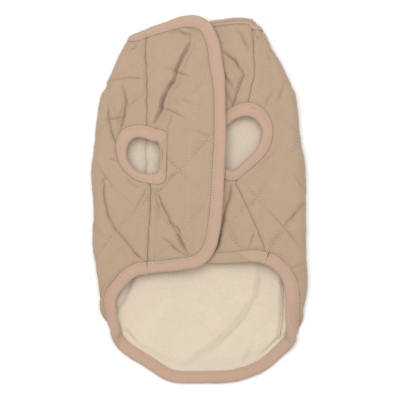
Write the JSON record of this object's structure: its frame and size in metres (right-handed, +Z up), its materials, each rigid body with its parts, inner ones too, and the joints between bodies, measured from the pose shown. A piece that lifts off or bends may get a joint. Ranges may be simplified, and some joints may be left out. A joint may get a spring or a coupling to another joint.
{
  "type": "dog winter coat",
  "caption": "Quilted dog winter coat with fleece lining, overlapping belly flap, bound edges and two leg holes, laid flat on its back with the belly side up.",
  "frame": {"origin": "middle of the coat's bounding box on the surface it lies on, under the back panel", "axes": "+Y along the coat towards the neck, +Z up out of the belly side, +X to the right as seen from above with the neck away from the viewer, which is the wearer's left"},
  "size_m": [0.2307, 0.3923, 0.0241],
  "materials": {
    "quilted_shell": "matte light tan brushed microfibre, quilted in diamonds",
    "fleece_lining": "soft cream short-pile fleece",
    "binding_tape": "matte ribbed stretch binding, dusty pink beige",
    "fastener_tape": "matte hook and loop tape"
  },
  "bodies": {
    "root": {"back_panel": "quilted_shell", "back_lining": "fleece_lining", "back_neck_binding": "binding_tape", "back_hem_binding": "binding_tape", "left_front_panel": "quilted_shell", "right_front_panel": "quilted_shell", "left_front_binding": "binding_tape", "right_front_binding": "binding_tape", "left_armhole_binding": "binding_tape", "right_armhole_binding": "binding_tape", "closure_hook_strip": "fastener_tape", "closure_loop_strip": "fastener_tape"}
  },
  "joints": []
}
